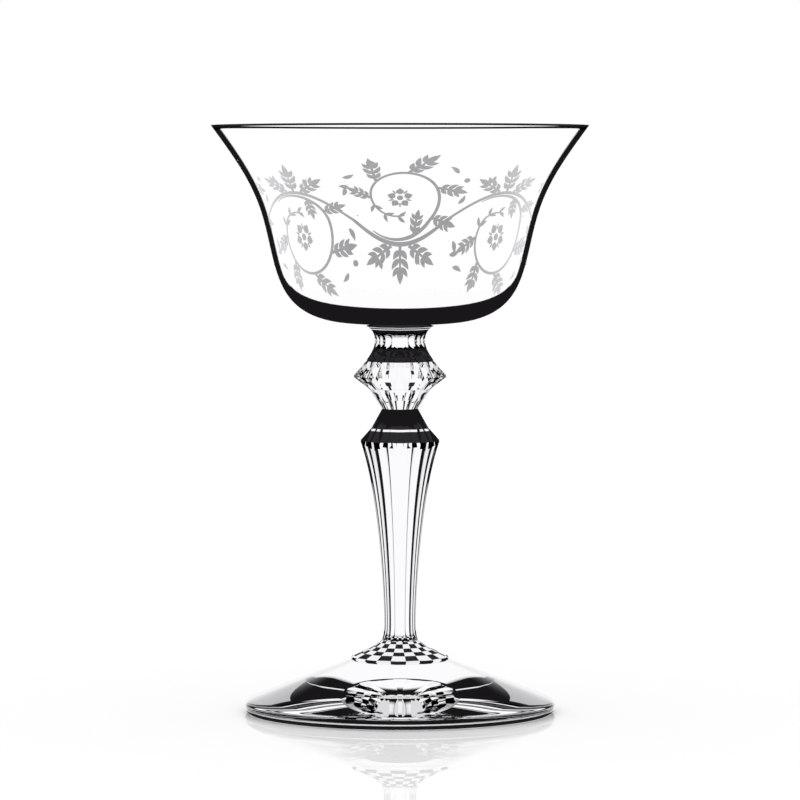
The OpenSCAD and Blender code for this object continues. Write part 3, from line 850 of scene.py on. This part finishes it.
off_painted_shade = node(white_floor, "ShaderNodeMath", {0: past_foot, 1: before_painted_shade}, operation="MAXIMUM")
light = node(white_floor, "ShaderNodeMath", {0: off_painted_shade, 1: steep}, operation="MAXIMUM")
# Painted shade: a black glow on the floor under the back of the foot, seen only through the glass.
painted_shade_patch = node(white_floor, "ShaderNodeEmission", {"Color": PAINTED_BLACK})
bright = node(white_floor, "ShaderNodeEmission", {"Color": WHITE})
under_glass = node(white_floor, "ShaderNodeMixShader", {0: light, 1: painted_shade_patch, 2: bright})
depth = node(white_floor, "ShaderNodeLightPath").outputs["Transmission Depth"]
through_glass = node(white_floor, "ShaderNodeMath", {0: depth, 1: HALF}, operation="GREATER_THAN")
floor_seen = node(white_floor, "ShaderNodeMixShader", {0: through_glass, 1: board, 2: under_glass})
node(white_floor, "ShaderNodeOutputMaterial", {"Surface": floor_seen})
corner = FLOOR_R * np.exp(2j * math.pi * np.arange(FLOOR_CORNERS) / FLOOR_CORNERS)
corners = np.stack([corner.real, corner.imag, np.full(FLOOR_CORNERS, -FLOOR_DROP)], 1)
floor_mesh = bpy.data.meshes.new("floor")
floor_mesh.from_pydata(corners.tolist(), [], [range(FLOOR_CORNERS)])
floor_mesh.materials.append(white_floor)
floor = added("floor", floor_mesh)

# White room: white for all light that comes straight or through the glass. For light that the glass has
# turned back, it is white behind the glass and low, dark to the sides, and white in front and overhead.
BEHIND_TO, SIDE_FROM, SIDE_TO, FRONT_FROM = np.radians([38, 42, 105, 150]).tolist()  # from straight behind
LOW_TO, HIGH_FROM, HIGH_TO, OVERHEAD_FROM = np.radians([22, 30, 56, 64]).tolist()  # above the floor
DARKNESS = 0.009  # the little light that the dark parts of the room still give
room = blank(bpy.data.worlds, "white_room")
bpy.context.scene.world = room
look = node(room, "ShaderNodeTexCoord").outputs["Generated"]
part = node(room, "ShaderNodeSeparateXYZ", {0: look})
sideways = node(room, "ShaderNodeMath", {0: part.outputs["X"]}, operation="ABSOLUTE")
aside = node(room, "ShaderNodeMath", {0: sideways, 1: part.outputs["Y"]}, operation="ARCTAN2")
height = node(room, "ShaderNodeMath", {0: part.outputs["Z"]}, operation="ARCSINE")
limits = {"Value": aside, "From Min": BEHIND_TO, "From Max": SIDE_FROM, **FALL}
at_back = node(room, "ShaderNodeMapRange", limits, interpolation_type="SMOOTHSTEP")
limits = {"Value": height, "From Min": LOW_TO, "From Max": HIGH_FROM, **FALL}
low = node(room, "ShaderNodeMapRange", limits, interpolation_type="SMOOTHSTEP")
limits = {"Value": aside, "From Min": SIDE_TO, "From Max": FRONT_FROM}
in_front = node(room, "ShaderNodeMapRange", limits, interpolation_type="SMOOTHSTEP")
limits = {"Value": height, "From Min": HIGH_TO, "From Max": OVERHEAD_FROM}
overhead = node(room, "ShaderNodeMapRange", limits, interpolation_type="SMOOTHSTEP")
low_back = node(room, "ShaderNodeMath", {0: at_back, 1: low}, operation="MULTIPLY")
low_walls = node(room, "ShaderNodeMath", {0: low_back, 1: in_front}, operation="MAXIMUM")
walls = node(room, "ShaderNodeMath", {0: low_walls, 1: overhead}, operation="MAXIMUM")
path = node(room, "ShaderNodeLightPath").outputs
once = node(room, "ShaderNodeMath", {0: path["Glossy Depth"], 1: 1 + HALF}, operation="LESS_THAN")
once_lit = node(room, "ShaderNodeMath", {0: walls, 1: once}, operation="MULTIPLY")
turned_light = node(room, "ShaderNodeMath", {0: once_lit, 1: DARKNESS}, operation="MAXIMUM")
through = node(room, "ShaderNodeMath", {0: path["Transmission Depth"], 1: HALF}, operation="GREATER_THAN")
back = node(room, "ShaderNodeMath", {0: path["Glossy Depth"], 1: HALF}, operation="GREATER_THAN")
not_matt = node(room, "ShaderNodeMath", {0: 1.0, 1: path["Is Diffuse Ray"]}, operation="SUBTRACT")
both = node(room, "ShaderNodeMath", {0: through, 1: back}, operation="MULTIPLY")
from_glass = node(room, "ShaderNodeMath", {0: both, 1: not_matt}, operation="MULTIPLY")
level = node(room, "ShaderNodeMix", {"Factor": from_glass, 2: 1.0, 3: turned_light}, data_type="FLOAT")
sky = node(room, "ShaderNodeBackground", {"Color": level, "Strength": 1.0})
node(room, "ShaderNodeOutputWorld", {"Surface": sky})

# Camera
# It stands 1.35 m off, a little above the rim, and looks slightly down, as the ellipses in the photo show.

CAMERA_AWAY, CAMERA_UP = 1.350, 0.16372
CAMERA_DIP = math.radians(3.5851)
PICTURE_W = 36  # the camera's sensor, in millimetres
FOCAL_SHARE = 6.702  # focal length as a share of the picture's width
camera_data = bpy.data.cameras.new("camera")
camera_data.sensor_width = PICTURE_W
camera_data.lens = PICTURE_W * FOCAL_SHARE
camera = bpy.data.objects.new("camera", camera_data)
camera.location = (0, -CAMERA_AWAY, CAMERA_UP)
camera.rotation_euler = (math.pi / 2 - CAMERA_DIP, 0, 0)
bpy.context.scene.collection.objects.link(camera)
bpy.context.scene.camera = camera
bpy.context.scene.view_settings.view_transform = "Standard"
